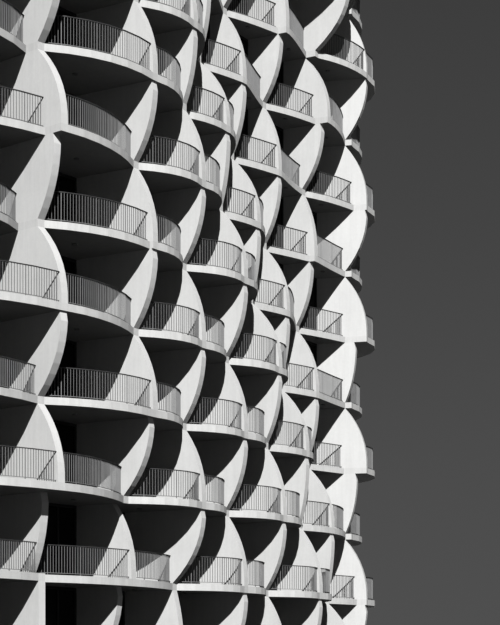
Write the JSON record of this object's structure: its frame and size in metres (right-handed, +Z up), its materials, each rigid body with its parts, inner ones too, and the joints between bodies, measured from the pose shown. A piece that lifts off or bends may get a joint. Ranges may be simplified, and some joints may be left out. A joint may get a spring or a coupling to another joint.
{
  "type": "apartment tower block",
  "caption": "Apartment tower of white concrete fins that swell at alternate floors, with interlocking curved balconies between them.",
  "frame": {"origin": "ground level, in the middle of the plan", "axes": "+Z up, -Y out of the long front, X along the long front"},
  "size_m": [37.3504, 21.8996, 37.3],
  "materials": {
    "fin_concrete": "painted smooth concrete",
    "slab_concrete": "painted concrete",
    "roof_concrete": "painted concrete",
    "rail_metal": "satin",
    "window_frame": "dark anodised",
    "window_glass": "dark, seen unlit from outside",
    "hand_rail": "satin, dark"
  },
  "bodies": {
    "root": {"ground_slab": "slab_concrete", "floor_slab_01": "slab_concrete", "floor_slab_02": "slab_concrete", "floor_slab_03": "slab_concrete", "floor_slab_04": "slab_concrete", "floor_slab_05": "slab_concrete", "floor_slab_06": "slab_concrete", "floor_slab_07": "slab_concrete", "floor_slab_08": "slab_concrete", "floor_slab_09": "slab_concrete", "floor_slab_10": "slab_concrete", "floor_slab_11": "slab_concrete", "roof_slab": "slab_concrete", "front_fin_01": "fin_concrete", "front_fin_02": "fin_concrete", "front_fin_03": "fin_concrete", "front_fin_04": "fin_concrete", "front_fin_05": "fin_concrete", "front_fin_06": "fin_concrete", "front_fin_07": "fin_concrete", "front_fin_08": "fin_concrete", "front_fin_09": "fin_concrete", "front_fin_10": "fin_concrete", "right_end_fins": "fin_concrete", "back_fins": "fin_concrete", "left_end_fins": "fin_concrete", "balustrade_01": "rail_metal", "balustrade_02": "rail_metal", "balustrade_03": "rail_metal", "balustrade_04": "rail_metal", "balustrade_05": "rail_metal", "balustrade_06": "rail_metal", "balustrade_07": "rail_metal", "balustrade_08": "rail_metal", "balustrade_09": "rail_metal", "balustrade_10": "rail_metal", "balustrade_11": "rail_metal", "parapet": "roof_concrete"}
  },
  "joints": []
}
